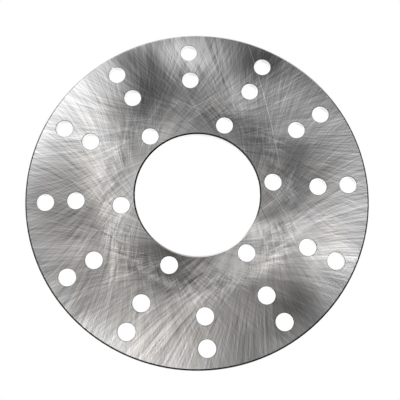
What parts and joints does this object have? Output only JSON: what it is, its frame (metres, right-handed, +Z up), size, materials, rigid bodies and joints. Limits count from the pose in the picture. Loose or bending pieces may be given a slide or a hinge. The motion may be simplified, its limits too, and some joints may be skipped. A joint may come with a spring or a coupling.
{
  "type": "brake disc rotor",
  "caption": "Flat steel brake disc with a round hub bore, a ring of hub bolt holes, and inner and outer rings of vent holes through the braking band.",
  "frame": {"origin": "centre of the hub bore, half way through the disc's thickness", "axes": "+Y is the axis the disc spins about, pointing from the front face to the back face that seats on the hub; +Z is up and passes through a pair of vent holes; +X is to the right as seen from the front"},
  "size_m": [0.17, 0.004, 0.17],
  "materials": {
    "ground_steel": "bare stainless steel, surface ground on both faces with crossing curved marks, turned rim"
  },
  "bodies": {
    "root": {"brake_disc": "ground_steel"}
  },
  "joints": []
}
